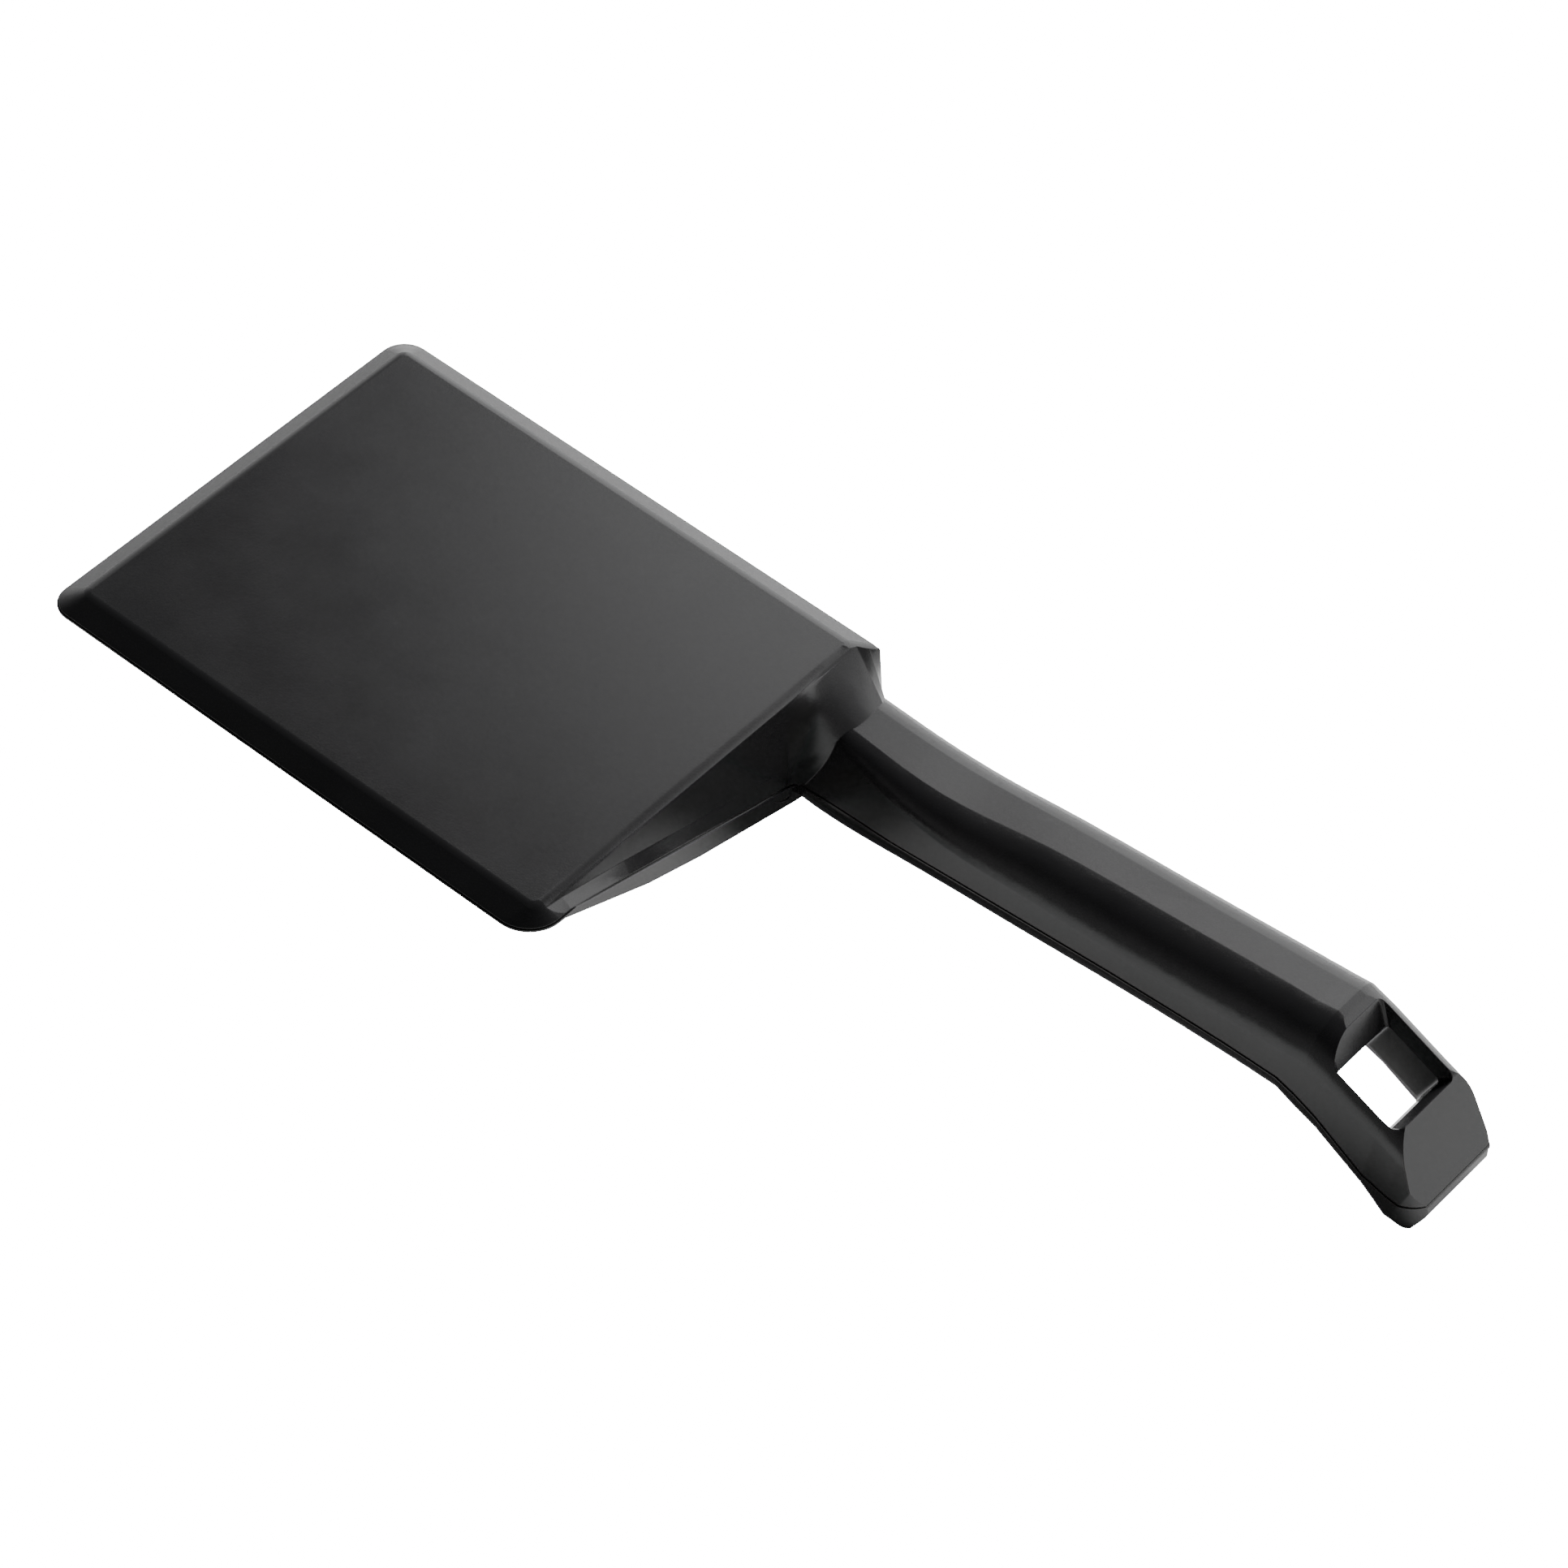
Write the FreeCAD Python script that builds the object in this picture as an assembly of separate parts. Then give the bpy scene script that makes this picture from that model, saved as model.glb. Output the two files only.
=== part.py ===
import FreeCAD, Part
import math
import os

# Pointing mortar hawk: two hollow plastic shells welded together along one seam, where the weld
# leaves a fine raised bead. X runs from the tip of the deck to the end of the handle and Y from
# the near long side to the far one. It is drawn with Z = 0 on the flat of the deck, and moved at
# the end so that the origin is the middle of the underside of its box. Millimetres.

# ---- deck ---------------------------------------------------------------------------------
DECK_LENGTH = 153.5        # flat of the deck, tip to back
DECK_WIDTH = 120.0         # flat of the deck, near side to far side
RIM_REACH = 6.5            # bevelled rim outside the flat on the tip and both long sides
BACK_REACH = 4.6           # the same at the back edge
HANDLE_FAR = DECK_WIDTH + RIM_REACH   # far side of the deck, and of the handle
RIM_DROP = 3.4             # fall of the bevel
FLAT_CORNER = 2.2          # plan radius of the flat's corners
ARRIS = 4.0                # rounding between the flat and the bevel
RIM_CORNERS = (6.5, 10.0, 2.0, 7.5)    # plan radii: tip near, back near, back far, tip far
TIP_DEPTH = 6.6            # underside of the deck at the tip
WALL = 3.0                 # wall of the shells

# ---- shoulder -----------------------------------------------------------------------------
SEAM_RIM = -4.2            # height of the seam round the deck
SEAM_ROOT = -30.9          # height of the seam where the handle begins
SEAM_TURN = 9.5            # y where the seam starts to fall across the shoulder
SEAM_FAR = ((50.0, -4.8), (105.0, -11.0))    # x and z of the seam along the far side
ROOT_DEPTH = 39.3          # underside of the body at the handle root

# How the body deepens along x, from 0 at the tip to 1 at the handle root.
FULLNESS = ((-RIM_REACH - 1.0, 0.0), (34.0, 0.05), (76.0, 0.2), (118.0, 0.55),
            (DECK_LENGTH + 6.0, 1.0))

NOSE_NEAR = 92.6           # near side of the fairing that runs from the deck over the handle
NOSE_TOP = -3.6
NOSE_LOW = -30.0
NOSE_START = DECK_LENGTH - 2.0
NOSE_END = DECK_LENGTH + 40.0

# The sloping back, station by station along y: x behind the deck and z of its upper edge, of the
# crease that crosses it, and of the end of the strip below the crease.
SHOULDER = (
    (-9.0, (0.9, 1.0), (1.1, 0.6), (5.2, -2.9)),
    (8.0, (1.2, -1.3), (1.5, -1.8), (4.75, -3.6)),
    (30.0, (1.2, -1.3), (2.4, -6.1), (4.75, -9.8)),
    (55.0, (1.2, -1.3), (3.1, -12.5), (4.75, -17.2)),
    (76.0, (1.2, -1.3), (3.7, -17.8), (4.75, -23.8)),
    (92.4, (1.2, -1.3), (4.3, -21.7), (4.5, -33.5)),
)
FAIRING = (
    SHOULDER[-1],
    (96.5, (1.2, -1.3), (5.6, -20.8), (6.0, -33.5)),
    (100.6, (1.2, -1.3), (7.8, -19.3), (12.1, -33.5)),
    (105.9, (1.2, -1.3), (10.6, -15.7), (22.2, -33.5)),
    (112.0, (1.2, -1.3), (11.7, -14.7), (26.2, -33.5)),
    (118.0, (1.2, -1.3), (11.5, -14.9), (25.3, -33.5)),
    (121.2, (1.2, -1.3), (11.0, -15.1), (23.7, -33.5)),
)
FAR_CORNER = (
    FAIRING[-1],
    (123.8, (2.6, -1.5), (9.6, -16.2), (17.8, -33.5)),
    (HANDLE_FAR, (4.4, -1.7), (6.9, -19.6), (9.1, -33.5)),
    (HANDLE_FAR + 3.0, (5.4, -1.8), (4.2, -21.6), (2.0, -33.5)),
)

# Underside at the back of the deck, as y and z from the near side to the handle root.
UNDERSIDE = ((6.0, -5.4), (22.0, -12.7), (38.0, -19.9), (58.0, -26.8), (95.7, -37.4))

# ---- handle -------------------------------------------------------------------------------
HANDLE_NEAR = 96.7         # near side of the handle at the seam
FAR_ROUND = 7.8            # rounding of the handle's far top edge
ROOT_X = DECK_LENGTH + 6.0           # where the seam turns from the shoulder into the handle
BEND_X = DECK_LENGTH + 157.0         # where the handle turns down
END_X = DECK_LENGTH + 203.9

# Handle stations: x behind the deck, near side, top, seam, bottom, rounding of the near top edge
# and of the bottom edges, and draft of the near side above and below the seam.
GRIP = (
    (-10, 96.7, -15.4, -28.9, -33.6, 6.0, 4.2, 28.0, 2.0),
    (8, 96.7, -14.6, -30.9, -39.4, 6.0, 6.5, 28.0, 2.0),
    (34, 96.7, -15.2, -29.9, -38.0, 8.0, 6.5, 20.0, 2.0),
    (70, 96.7, -11.6, -26.8, -34.6, 11.0, 6.5, 14.0, 2.0),
    (105, 96.7, -8.0, -23.8, -31.4, 12.0, 6.5, 12.0, 2.0),
    (140, 96.4, -4.4, -21.3, -28.4, 12.0, 6.0, 12.0, 1.0),
    (157, 96.0, -2.7, -20.5, -26.8, 12.0, 5.0, 12.0, 1.0),
)
END = (
    GRIP[-1],
    (163, 95.8, -1.9, -22.0, -28.4, 12.0, 4.0, 12.0, 1.0),
    (170, 95.6, -4.3, -24.7, -30.6, 12.0, 4.0, 12.0, 1.0),
    (186, 95.1, -11.2, -33.2, -38.6, 12.0, 4.0, 12.0, 0.0),
    (194, 94.8, -14.4, -34.7, -43.3, 11.0, 4.0, 11.0, -6.0),
    (206, 94.3, -19.4, -35.3, -43.3, 9.0, 4.0, 10.0, -6.0),
)

# ---- end with the hanging hole ------------------------------------------------------------
END_SLOPE = 23.0           # degrees, fall of the end's flat top
END_ORIGIN = (DECK_LENGTH + 166.0, -3.0)     # x and z of a point on that top
END_BOTTOM = -42.8         # flat of the foot under the end
END_CORNERS = (1.0, 10.0, 3.5, 1.0)          # plan radii, as RIM_CORNERS
RIDGE_ROUND = 7.0          # rounding between the flat top and the end face
TOE_ROUND = 3.5            # rounding under the end face

# The end face from the ridge down: x behind the deck, and z.
END_FACE = ((202.9, -35.0), (203.3, -39.0), (201.0, END_BOTTOM))
RIDGE_U = 26.07            # ridge between them, along the sloping top

HOLE_Y = (99.4, 121.8)     # hanging hole at the top face
HOLE_U = (1.3, 29.0)       # the same along the slope
THROAT_Y = (100.0, 121.2)  # hole below its flared mouth
THROAT_U = (7.6, 26.4)
THROAT_DEPTH = (5.5, 17.3)
EXIT_Y = (100.0, 124.8)    # hole where its flared exit passes the underside
EXIT_U = (6.0, 27.5)
EXIT_DEPTH = 22.5
HOLE_CORNER = 1.3

# ---- seam ---------------------------------------------------------------------------------
BEAD = 0.35                # how far the weld bead stands out
BEAD_HALF = 0.3            # half its height

# ---- inside -------------------------------------------------------------------------------
RIB = 2.0                  # thickness of the lower shell's ribs
RIB_GAP = 0.5              # between the ribs and the upper shell
LONG_RIBS = (60.0, 90.0)
CROSS_RIBS = (95.0, 130.0)
GRIP_RIBS = (DECK_LENGTH + 35.0, DECK_LENGTH + 75.0, DECK_LENGTH + 115.0)
CAVITY_START = (64.0, 26.0)           # x and y where the deck's hollow begins
CAVITY_END = DECK_LENGTH + 152.0
CAVITY_BACK = 1.9          # from the deck's hollow to the back of the flat


def vec(x, y, z):
    return FreeCAD.Vector(x, y, z)


def loft(wires, ruled=True):
    return Part.makeLoft(wires, True, ruled)


def prism(points, direction):
    face = Part.Face(Part.makePolygon(list(points) + [points[0]]))
    return face.extrude(direction)


def fused(shapes):
    return shapes[0].multiFuse(shapes[1:]).removeSplitter()


def block(x0, x1, y0, y1, z0, z1):
    return Part.makeBox(x1 - x0, y1 - y0, z1 - z0, vec(x0, y0, z0))


def outward(solid):
    """The same solid with its faces turned outwards."""
    return solid.reversed() if solid.Volume < 0 else solid


def rounded_path(points, radii):
    """Closed wire through points, with each corner rounded to its own radius."""
    count = len(points)
    corners = []
    for index, (corner, radius) in enumerate(zip(points, radii)):
        before = (points[index - 1] - corner).normalize()
        after = (points[(index + 1) % count] - corner).normalize()
        if radius == 0:
            corners.append((corner, None, corner))
            continue
        half = before.getAngle(after) / 2
        reach = radius / math.tan(half)
        middle = corner + (before + after).normalize() * (radius / math.sin(half) - radius)
        corners.append((corner + before * reach, middle, corner + after * reach))
    edges = []
    for index, (first, middle, last) in enumerate(corners):
        if middle is not None:
            edges.append(Part.Arc(first, middle, last).toShape())
        edges.append(Part.makeLine(last, corners[(index + 1) % count][0]))
    return Part.Wire(edges)


# ---- deck and shoulder --------------------------------------------------------------------
def rounded_rectangle(x0, x1, y0, y1, z, radii):
    """Wire of four sides and four arcs; radii from the (x0, y0) corner, anticlockwise."""
    return rounded_path([vec(x0, y0, z), vec(x1, y0, z), vec(x1, y1, z), vec(x0, y1, z)], radii)


def rim_outline(z, inset):
    radii = [max(r - inset, 0.5) for r in RIM_CORNERS]
    return rounded_rectangle(-RIM_REACH + inset, DECK_LENGTH + BACK_REACH - inset,
                             -RIM_REACH + inset, HANDLE_FAR - inset, z, radii)


def deck_cap(inset):
    """Flat of the deck and its bevelled rim, with a soft arris between them."""
    flat = rounded_rectangle(0, DECK_LENGTH, 0, DECK_WIDTH, -inset, [FLAT_CORNER] * 4)
    cap = outward(loft([rim_outline(-RIM_DROP, inset), flat]))
    edges = [edge for edge in cap.Edges if edge.BoundBox.ZMin > -inset - 0.01]
    return cap.makeFillet(ARRIS, edges)


def belly_profile(x, fullness, inset):
    """Section across the body under the rim; fullness is 0 at the tip and 1 at the back."""
    far_round = GRIP[0][6]
    back = UNDERSIDE + ((HANDLE_NEAR + 8.0, -ROOT_DEPTH), (HANDLE_FAR - far_round, -ROOT_DEPTH),
                        (HANDLE_FAR, -ROOT_DEPTH + far_round))
    near = -RIM_REACH + inset
    far = HANDLE_FAR - inset
    points = [vec(x, near, -RIM_DROP), vec(x, near, SEAM_RIM - 0.4)]
    for y, z in back:
        depth = -TIP_DEPTH + fullness * (z + TIP_DEPTH)
        points.append(vec(x, min(y, far), depth))
    points.append(vec(x, far, -RIM_DROP))
    return Part.makePolygon(points + [points[0]])


def belly(inset):
    """Body under the rim: thin at the tip, deep where the handle begins, with a panel set in."""
    body = outward(loft([belly_profile(x, full, inset) for x, full in FULLNESS], ruled=False))
    face = Part.Face(rim_outline(-RIM_DROP, inset))
    return body.common(face.extrude(vec(0, 0, -ROOT_DEPTH)))


def back_cutter(inset):
    """Everything behind the sloping back of the deck and above the strip beside the seam."""
    def section(station):
        y, upper, crease, lower = station
        lean = (crease[0] - upper[0]) / (crease[1] - upper[1])
        start = (upper[0] + 6.0 * lean, upper[1] + 6.0)
        line = (start, upper, crease, lower, (60.0, lower[1]), (60.0, start[1]))
        points = [vec(DECK_LENGTH + x - inset, y, z) for x, z in line]
        return Part.makePolygon(points + [points[0]])

    shoulder = outward(loft([section(station) for station in SHOULDER]))
    fairing = outward(loft([section(station) for station in FAIRING], ruled=False))
    corner = outward(loft([section(station) for station in FAR_CORNER]))
    return shoulder, fairing, corner


def nose(inset):
    """Block that the sloping back carves into a fairing over the root of the handle."""
    return block(NOSE_START, NOSE_END, NOSE_NEAR + inset, HANDLE_FAR - inset, NOSE_LOW, NOSE_TOP)


# ---- handle -------------------------------------------------------------------------------
def handle_section(station, inset):
    offset, near, top, seam, bottom, near_round, low_round, draft, low_draft = station
    x = DECK_LENGTH + offset
    near += inset
    top -= inset
    bottom += inset
    far = HANDLE_FAR - inset
    r_near = near_round - inset
    r_far = FAR_ROUND - inset
    r_low = low_round - inset
    up = math.radians(draft)
    down = math.radians(low_draft)
    y_top = near + (r_near + (top - r_near - seam) * math.sin(up)) / math.cos(up)
    y_low = near + (r_low - (bottom + r_low - seam) * math.sin(down)) / math.cos(down)

    def on_arc(y, z, r, angle):
        return vec(x, y + r * math.cos(angle), z + r * math.sin(angle))

    def arc(y, z, r, first, last):
        return Part.Arc(on_arc(y, z, r, first), on_arc(y, z, r, (first + last) / 2),
                        on_arc(y, z, r, last)).toShape()

    half, right = math.pi, math.pi / 2
    arcs = (arc(y_top, top - r_near, r_near, half - up, right),
            arc(far - r_far, top - r_far, r_far, right, 0.0),
            arc(far - r_low, bottom + r_low, r_low, 0.0, -right),
            arc(y_low, bottom + r_low, r_low, -right, -half + down))
    start = vec(x, near, seam)
    edges = [Part.makeLine(start, arcs[0].Vertexes[0].Point)]
    for index, piece in enumerate(arcs):
        edges.append(piece)
        tail = arcs[index + 1].Vertexes[0].Point if index < 3 else start
        edges.append(Part.makeLine(piece.Vertexes[-1].Point, tail))
    return Part.Wire(edges)


def grip(inset):
    return outward(loft([handle_section(station, inset) for station in GRIP], ruled=False))


def end_block(inset):
    """Down-turned end, trimmed by its sloping top, its end face and its rounded corners."""
    rough = outward(loft([handle_section(station, inset) for station in END]))
    return rough.common(end_profile(inset)).common(end_plan(inset))


def slope_point(u, y, depth):
    """Point u along the sloping top and depth below it."""
    angle = math.radians(END_SLOPE)
    x = END_ORIGIN[0] + u * math.cos(angle) - depth * math.sin(angle)
    z = END_ORIGIN[1] - u * math.sin(angle) - depth * math.cos(angle)
    return vec(x, y, z)


def end_profile(inset):
    """Side view of the end, from the sloping top round the ridge and the end face to the toe."""
    ridge = slope_point(RIDGE_U, 0, inset)
    face = [vec(DECK_LENGTH + x - inset, 0, z) for x, z in END_FACE]
    points = [slope_point(-40.0, 0, inset), ridge] + face + [vec(BEND_X - 40, 0, END_BOTTOM)]
    wire = rounded_path(points, (0, RIDGE_ROUND, 3.0, TOE_ROUND, 0, 0))
    return Part.Face(wire).extrude(vec(0, 200, 0))


def end_plan(inset):
    plan = rounded_rectangle(BEND_X - 60, END_X, 94.0 + inset, HANDLE_FAR - inset, -60,
                             END_CORNERS)
    return Part.Face(plan).extrude(vec(0, 0, 90))


def hanging_hole():
    """Flared mouth from the sloping top, a straight throat, and a flared exit underneath."""
    def outline(u, y, depth):
        points = [slope_point(u[0], y[0], depth), slope_point(u[1], y[0], depth),
                  slope_point(u[1], y[1], depth), slope_point(u[0], y[1], depth)]
        return rounded_path(points, [HOLE_CORNER] * 4)

    levels = ((HOLE_U, HOLE_Y, -8.0), (HOLE_U, HOLE_Y, 0.0), (THROAT_U, THROAT_Y, THROAT_DEPTH[0]),
              (THROAT_U, THROAT_Y, THROAT_DEPTH[1]), (EXIT_U, EXIT_Y, EXIT_DEPTH),
              (EXIT_U, EXIT_Y, EXIT_DEPTH + 30.0))
    return outward(loft([outline(u, y, depth) for u, y, depth in levels]))


# ---- shells -------------------------------------------------------------------------------
def body(inset):
    """The closed outside of the hawk, less inset all round."""
    shaped = fused([deck_cap(inset), belly(inset), nose(inset)])
    for cutter in back_cutter(inset):
        shaped = shaped.cut(cutter)
    whole = fused([shaped, grip(inset), end_block(inset)])
    return whole.cut(hanging_hole())


def below_seam(shift):
    """Everything under the seam, raised by shift."""
    far = HANDLE_FAR + 40
    near = -RIM_REACH - 20
    deep = -90.0

    def polygon(x, root):
        rim = SEAM_RIM + shift
        points = [vec(x, near, rim), vec(x, SEAM_TURN, rim), vec(x, HANDLE_NEAR, root + shift),
                  vec(x, far, root + shift), vec(x, far, deep), vec(x, near, deep)]
        return Part.makePolygon(points + [points[0]])

    stations = ((-RIM_REACH - 1.0, SEAM_RIM),) + SEAM_FAR + ((ROOT_X, SEAM_ROOT),)
    deck = outward(loft([polygon(x, root) for x, root in stations]))
    line = [vec(ROOT_X, near, SEAM_ROOT + shift)]
    line += [vec(DECK_LENGTH + s[0], near, s[3] + shift) for s in GRIP[2:] + END[1:]]
    line += [vec(END_X + 20, near, END[-1][3] + shift), vec(END_X + 20, near, deep),
             vec(ROOT_X, near, deep)]
    return fused([deck, prism(line, vec(0, far - near, 0))])


def hollow():
    """Inside of the deck and the grip; the end round the hole is solid."""
    plan = block(CAVITY_START[0], DECK_LENGTH - CAVITY_BACK, CAVITY_START[1],
                 HANDLE_FAR - WALL, -ROOT_DEPTH, -RIM_DROP)
    deck = belly(0.0)
    deck.translate(vec(0, 0, WALL))
    inner_grip = grip(WALL).common(block(0, CAVITY_END, 0, 200, -60, 10))
    return fused([deck.common(plan), inner_grip])


def ribs(space):
    """Grid under the deck and bulkheads in the grip, just short of the upper shell."""
    half = RIB / 2
    back = DECK_LENGTH + BACK_REACH
    grid = [block(0, back, y - half, y + half, -60, 0) for y in LONG_RIBS]
    grid += [block(x - half, x + half, 0, 200, -60, 0) for x in CROSS_RIBS + GRIP_RIBS]
    room = space.copy()
    room.translate(vec(0, 0, -RIB_GAP))
    return room.common(fused(grid))


def to_origin():
    """Move that puts the origin in the middle of the underside of the box round the hawk."""
    face_x = max(x for x, z in END_FACE)
    middle_x = (DECK_LENGTH + face_x - RIM_REACH) / 2
    middle_y = (HANDLE_FAR - RIM_REACH) / 2
    return -middle_x, -middle_y, -END_BOTTOM


def main():
    os.makedirs("parts", exist_ok=True)
    outside = body(0.0)
    inside = hollow()
    low = below_seam(0.0)
    wall = outside.cut(inside)
    upper = wall.cut(low)
    lower = wall.common(low).fuse(ribs(inside)).removeSplitter()
    band = below_seam(BEAD_HALF).cut(below_seam(-BEAD_HALF))
    ring = body(-BEAD).common(band).cut(outside)
    bead = max(ring.Solids, key=lambda solid: solid.Volume)
    pieces = {"upper_shell": upper, "lower_shell": lower, "weld_bead": bead}
    for name, piece in pieces.items():
        piece.translate(vec(*to_origin()))
        print(name, piece.isValid(), len(piece.Solids), round(piece.Volume))
        piece.exportStep("parts/" + name + ".step")


main()
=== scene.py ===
"""Mortar hawk in black moulded plastic: materials, studio floor, lights and camera round the CAD frame."""
import math

import bpy
from mathutils import Matrix, Vector


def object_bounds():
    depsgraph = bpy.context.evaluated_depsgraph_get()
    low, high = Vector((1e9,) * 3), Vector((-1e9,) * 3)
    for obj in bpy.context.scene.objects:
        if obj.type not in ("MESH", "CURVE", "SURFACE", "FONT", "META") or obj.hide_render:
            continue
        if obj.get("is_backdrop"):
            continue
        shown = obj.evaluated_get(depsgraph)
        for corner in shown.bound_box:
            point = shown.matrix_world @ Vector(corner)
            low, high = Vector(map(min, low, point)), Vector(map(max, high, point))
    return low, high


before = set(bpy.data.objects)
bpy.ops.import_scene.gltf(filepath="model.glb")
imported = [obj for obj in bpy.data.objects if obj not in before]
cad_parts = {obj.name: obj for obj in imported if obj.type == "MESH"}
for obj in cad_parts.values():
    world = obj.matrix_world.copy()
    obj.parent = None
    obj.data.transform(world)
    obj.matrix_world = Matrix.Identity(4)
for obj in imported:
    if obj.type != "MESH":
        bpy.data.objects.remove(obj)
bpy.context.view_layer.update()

# ---- stage and lights, metres --------------------------------------------------------------
FLOOR_SIZE = 12.0
FLOOR_ALBEDO = 0.88
FLOOR_LIFT = 18.0          # extra white of the floor as the camera sees it
FLOOR_CLOUD = 1.3          # scale of the floor's faint unevenness
SOFTBOX = {"x": (-1.12, 1.3), "z": (0.12, 1.75), "y": 1.2, "radiance": 2.6}
HORIZON = 1.3              # brightness of the studio wall at eye level
OVERHEAD = 0.015           # brightness of the dark ceiling
WALL_FADE = (0.25, 0.72)   # upward part of the direction where the wall starts and ends its fade
WALL_SIDE = (-0.2, 0.7)    # sideways part over which the wall turns from dim to bright
DIM_SIDE = 0.25            # brightness of the dim side, as a share of the bright one
LAMP_POWER = 16.0          # watts of the lamp that lights the floor behind the hawk
LAMP_SIZE = (0.9, 0.3)
LAMP_PLACE = (-0.05, 0.62, 0.55)
LAMP_AIM = (0.0, 0.25, 0.0)

# ---- camera --------------------------------------------------------------------------------
AZIMUTH = -53.57           # degrees from +X to the camera, seen from above
ELEVATION = 48.42
ROLL = 5.05
DISTANCE = 1.5033
LENS = 138.9
SENSOR = 36.0
FAR_CLIP = 50.0
AIM = (-0.0034, 0.0121)    # what the camera points at on the deck's level, from the middle

# ---- black plastic -------------------------------------------------------------------------
PLASTIC = (0.0105, 0.0105, 0.011)
DARKER = 0.85              # mottling, from darker to lighter than that colour
LIGHTER = 1.2
MOTTLE = {"scale": 55.0, "detail": 4.0, "roughness": 0.55}
GRAIN = {"scale": 2600.0, "detail": 2.0, "roughness": 0.6}
GLOSS_SPREAD = 0.02        # how far the roughness strays with the mottling
NOISE_MIDDLE = (0.3, 0.7)  # part of a noise texture's range that is put to use
INDEX = 1.5
SHELL = {"roughness": 0.23, "grain": 0.000012, "edge_radius": 0.0003}
BEAD = {"roughness": 0.16, "grain": 0.000004, "edge_radius": 0.0001}


# ---- shader helpers ------------------------------------------------------------------------
def new_material(name):
    material = bpy.data.materials.new(name)
    material.use_nodes = True
    tree = material.node_tree
    tree.nodes.clear()
    return material, tree


def add(tree, kind, **values):
    node = tree.nodes.new(kind)
    for key, value in values.items():
        setattr(node, key, value)
    return node


def math_node(tree, operation, first, second):
    """Math node on two values, each a number or another node's output."""
    node = add(tree, "ShaderNodeMath", operation=operation)
    for socket, value in zip(node.inputs, (first, second)):
        if isinstance(value, (int, float)):
            socket.default_value = value
        else:
            tree.links.new(value, socket)
    return node.outputs[0]


def noise(tree, vector, scale, detail, roughness=0.5):
    node = add(tree, "ShaderNodeTexNoise")
    node.inputs["Scale"].default_value = scale
    node.inputs["Detail"].default_value = detail
    node.inputs["Roughness"].default_value = roughness
    tree.links.new(vector, node.inputs["Vector"])
    return node.outputs["Fac"]


def remap(tree, value, low, high, new_low, new_high):
    """Value carried from one range to another, and held at its ends."""
    node = add(tree, "ShaderNodeMapRange")
    node.inputs["From Min"].default_value = low
    node.inputs["From Max"].default_value = high
    node.inputs["To Min"].default_value = new_low
    node.inputs["To Max"].default_value = new_high
    tree.links.new(value, node.inputs["Value"])
    return node.outputs["Result"]


def bump(tree, height, distance, normal):
    node = add(tree, "ShaderNodeBump")
    node.inputs["Strength"].default_value = 1.0
    node.inputs["Distance"].default_value = distance
    tree.links.new(height, node.inputs["Height"])
    tree.links.new(normal, node.inputs["Normal"])
    return node.outputs["Normal"]


def surface(tree, shader_output):
    """Sends a shader to the material's output."""
    output = add(tree, "ShaderNodeOutputMaterial")
    tree.links.new(shader_output, output.inputs["Surface"])


# ---- materials -----------------------------------------------------------------------------
def plastic(name, roughness, grain, edge_radius):
    """Semi-gloss black moulding: fine grain, faint flow mottling and softened arrises."""
    material, tree = new_material(name)
    place = add(tree, "ShaderNodeTexCoord").outputs["Object"]
    fine = noise(tree, place, **GRAIN)
    mottle = noise(tree, place, **MOTTLE)
    edge = add(tree, "ShaderNodeBevel", samples=6)
    edge.inputs["Radius"].default_value = edge_radius
    grained = bump(tree, fine, grain, edge.outputs["Normal"])
    shader = add(tree, "ShaderNodeBsdfPrincipled")
    tone = add(tree, "ShaderNodeMix", data_type="RGBA")
    tone.inputs["A"].default_value = (*[c * DARKER for c in PLASTIC], 1.0)
    tone.inputs["B"].default_value = (*[c * LIGHTER for c in PLASTIC], 1.0)
    tree.links.new(mottle, tone.inputs["Factor"])
    tree.links.new(tone.outputs["Result"], shader.inputs["Base Color"])
    rough = remap(tree, mottle, *NOISE_MIDDLE, roughness - GLOSS_SPREAD, roughness + GLOSS_SPREAD)
    tree.links.new(rough, shader.inputs["Roughness"])
    tree.links.new(grained, shader.inputs["Normal"])
    shader.inputs["IOR"].default_value = INDEX
    surface(tree, shader.outputs[0])
    return material


def floor_material():
    """Pale matte floor that also glows for the camera, so that it shows as a white ground."""
    material, tree = new_material("pale_floor")
    place = add(tree, "ShaderNodeTexCoord").outputs["Object"]
    cloud = noise(tree, place, FLOOR_CLOUD, 2.0)
    shade = remap(tree, cloud, *NOISE_MIDDLE, FLOOR_ALBEDO - 0.01, FLOOR_ALBEDO + 0.01)
    matte = add(tree, "ShaderNodeBsdfDiffuse")
    tree.links.new(shade, matte.inputs["Color"])
    glow = add(tree, "ShaderNodeEmission")
    seen = add(tree, "ShaderNodeLightPath").outputs["Is Camera Ray"]
    tree.links.new(math_node(tree, "MULTIPLY", seen, FLOOR_LIFT), glow.inputs["Strength"])
    both = add(tree, "ShaderNodeAddShader")
    tree.links.new(matte.outputs[0], both.inputs[0])
    tree.links.new(glow.outputs[0], both.inputs[1])
    surface(tree, both.outputs[0])
    return material


def glowing_cloth():
    material, tree = new_material("softbox_cloth")
    glow = add(tree, "ShaderNodeEmission")
    glow.inputs["Strength"].default_value = SOFTBOX["radiance"]
    surface(tree, glow.outputs[0])
    return material


def paint(node, material):
    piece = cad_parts[node]
    piece.data.materials.clear()
    piece.data.materials.append(material)


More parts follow.
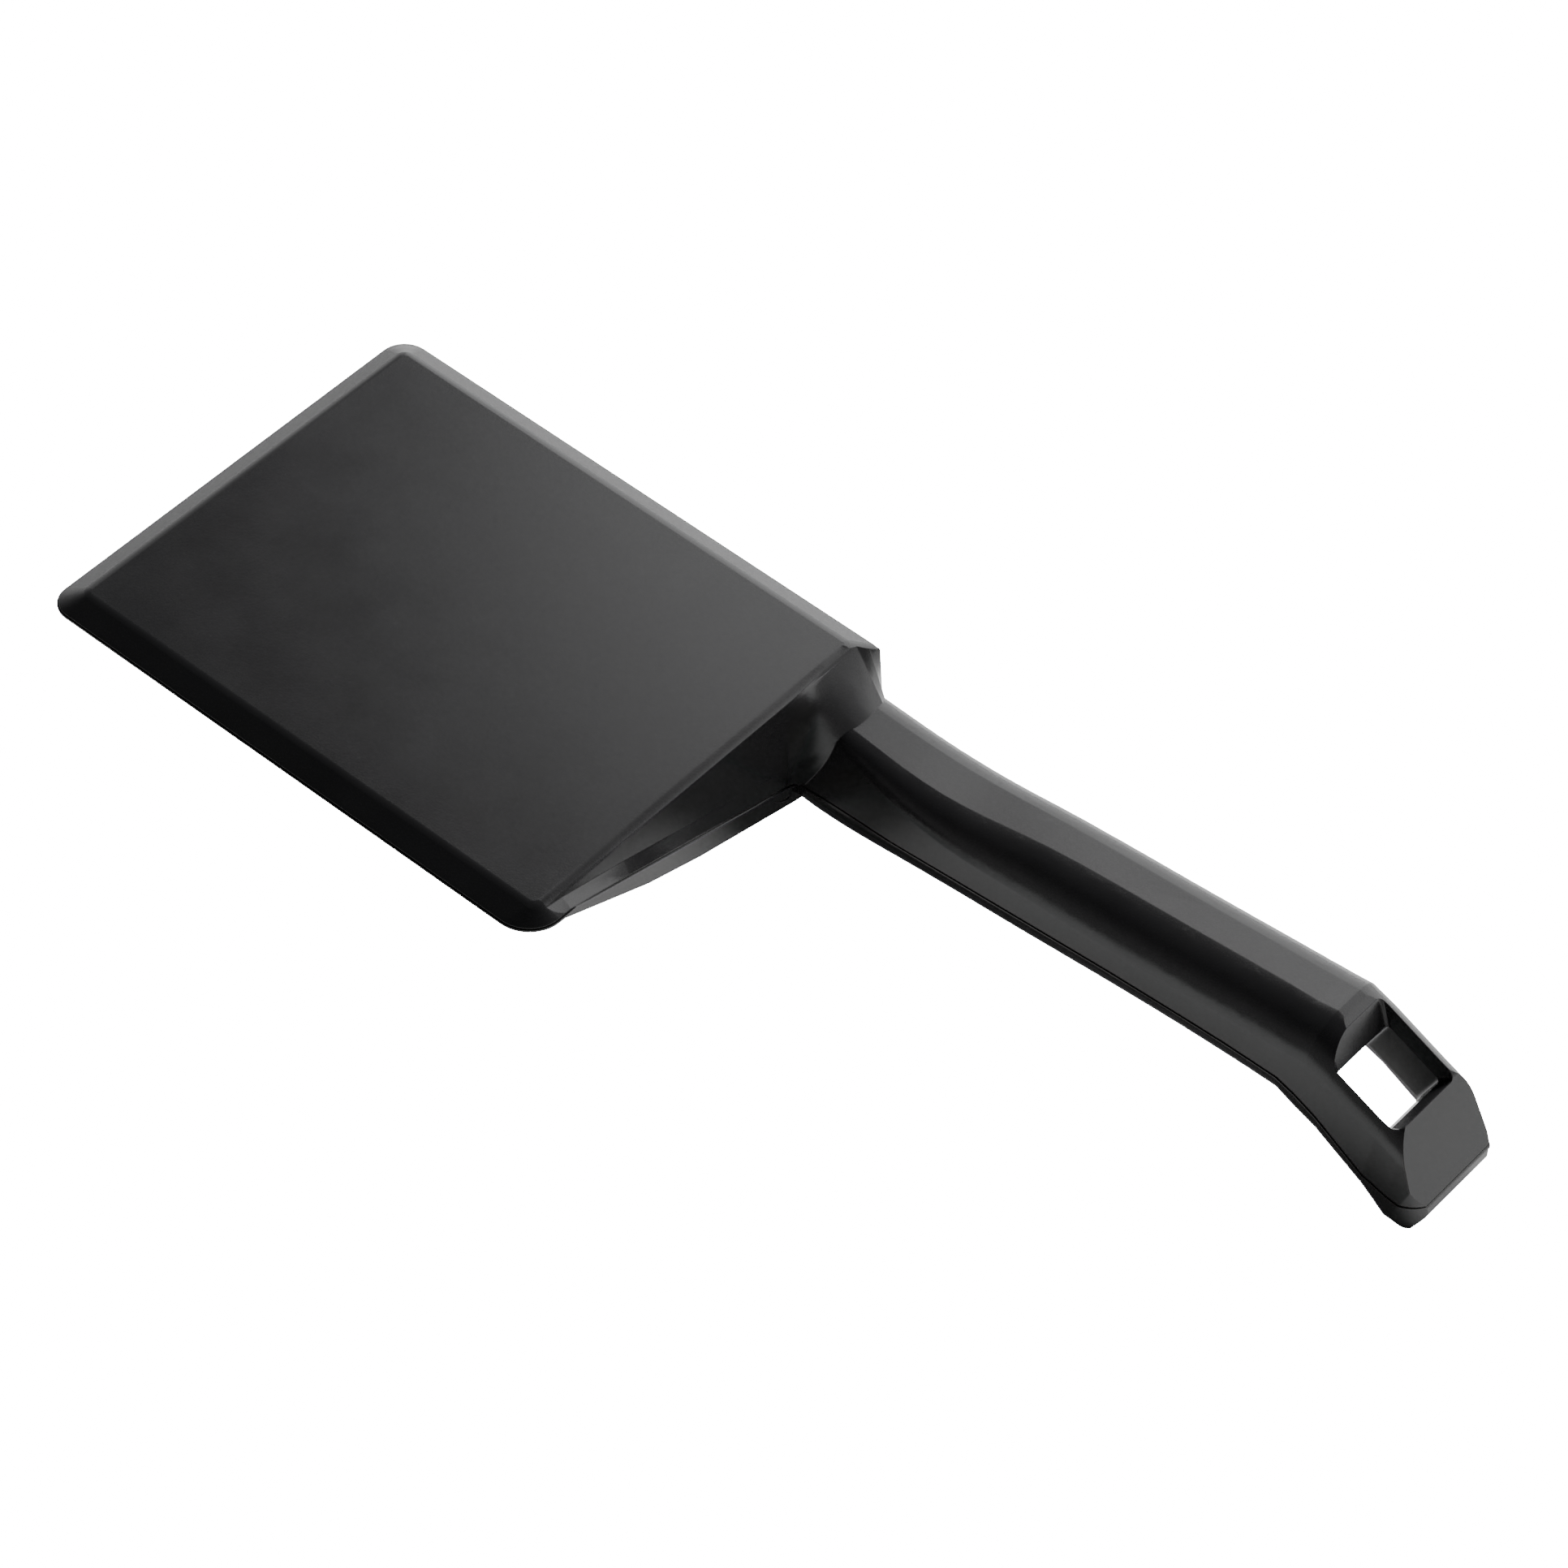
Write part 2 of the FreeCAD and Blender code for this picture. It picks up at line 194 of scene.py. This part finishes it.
# ---- stage ---------------------------------------------------------------------------------
def rectangle(name, corners, material):
    mesh = bpy.data.meshes.new(name)
    mesh.from_pydata(corners, [], [tuple(range(len(corners)))])
    mesh.materials.append(material)
    piece = bpy.data.objects.new(name, mesh)
    bpy.context.scene.collection.objects.link(piece)
    piece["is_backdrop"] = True
    return piece


def build_stage():
    half = FLOOR_SIZE / 2
    rectangle("floor", [(-half, -half, 0), (half, -half, 0), (half, half, 0), (-half, half, 0)],
              floor_material())
    (x0, x1), (z0, z1), y = SOFTBOX["x"], SOFTBOX["z"], SOFTBOX["y"]
    box = rectangle("softbox", [(x0, y, z0), (x1, y, z0), (x1, y, z1), (x0, y, z1)],
                    glowing_cloth())
    box.visible_camera = False


def build_world():
    """A studio room: pale at the horizon on the far and left sides, dark above and behind."""
    world = bpy.data.worlds.new("studio")
    bpy.context.scene.world = world
    world.use_nodes = True
    tree = world.node_tree
    tree.nodes.clear()
    way = add(tree, "ShaderNodeTexCoord").outputs["Generated"]
    axes = add(tree, "ShaderNodeSeparateXYZ")
    tree.links.new(way, axes.inputs[0])
    height = remap(tree, axes.outputs["Z"], *WALL_FADE, 1.0, 0.0)
    leftward = math_node(tree, "MULTIPLY", axes.outputs["X"], 0.5)
    across = math_node(tree, "SUBTRACT", axes.outputs["Y"], leftward)
    side = remap(tree, across, *WALL_SIDE, DIM_SIDE, 1.0)
    level = math_node(tree, "MULTIPLY", height, side)
    strength = remap(tree, level, 0.0, 1.0, OVERHEAD, HORIZON)
    background = add(tree, "ShaderNodeBackground")
    background.inputs["Color"].default_value = (1.0, 1.0, 1.0, 1.0)
    tree.links.new(strength, background.inputs["Strength"])
    output = add(tree, "ShaderNodeOutputWorld")
    tree.links.new(background.outputs[0], output.inputs["Surface"])


def build_lamp():
    """Lights the floor behind the hawk; it isn't mirrored in the plastic."""
    light = bpy.data.lights.new("far_pool", "AREA")
    light.shape = "RECTANGLE"
    light.size, light.size_y = LAMP_SIZE
    light.energy = LAMP_POWER
    lamp = bpy.data.objects.new("far_pool", light)
    lamp.location = LAMP_PLACE
    aim = Vector(LAMP_AIM) - lamp.location
    lamp.rotation_euler = aim.to_track_quat("-Z", "Y").to_euler()
    lamp.visible_glossy = False
    bpy.context.scene.collection.objects.link(lamp)


def build_camera():
    deck_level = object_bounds()[1][2]
    aim = Vector((*AIM, deck_level))
    turn = math.radians(AZIMUTH)
    rise = math.radians(ELEVATION)
    back = Vector((math.cos(turn) * math.cos(rise), math.sin(turn) * math.cos(rise),
                   math.sin(rise)))
    level = Vector((-math.sin(turn), math.cos(turn), 0.0))
    upright = back.cross(level)
    roll = math.radians(ROLL)
    right = level * math.cos(roll) + upright * math.sin(roll)
    up = back.cross(right)
    data = bpy.data.cameras.new("camera")
    data.lens = LENS
    data.sensor_width = SENSOR
    data.clip_end = FAR_CLIP
    camera = bpy.data.objects.new("camera", data)
    place = Matrix((right, up, back)).transposed().to_4x4()
    place.translation = aim + back * DISTANCE
    camera.matrix_world = place
    bpy.context.scene.collection.objects.link(camera)
    bpy.context.scene.camera = camera


shell = plastic("shell_plastic", **SHELL)
bead = plastic("bead_plastic", **BEAD)
paint("upper_shell", shell)
paint("lower_shell", shell)
paint("weld_bead", bead)
build_stage()
build_world()
build_lamp()
build_camera()
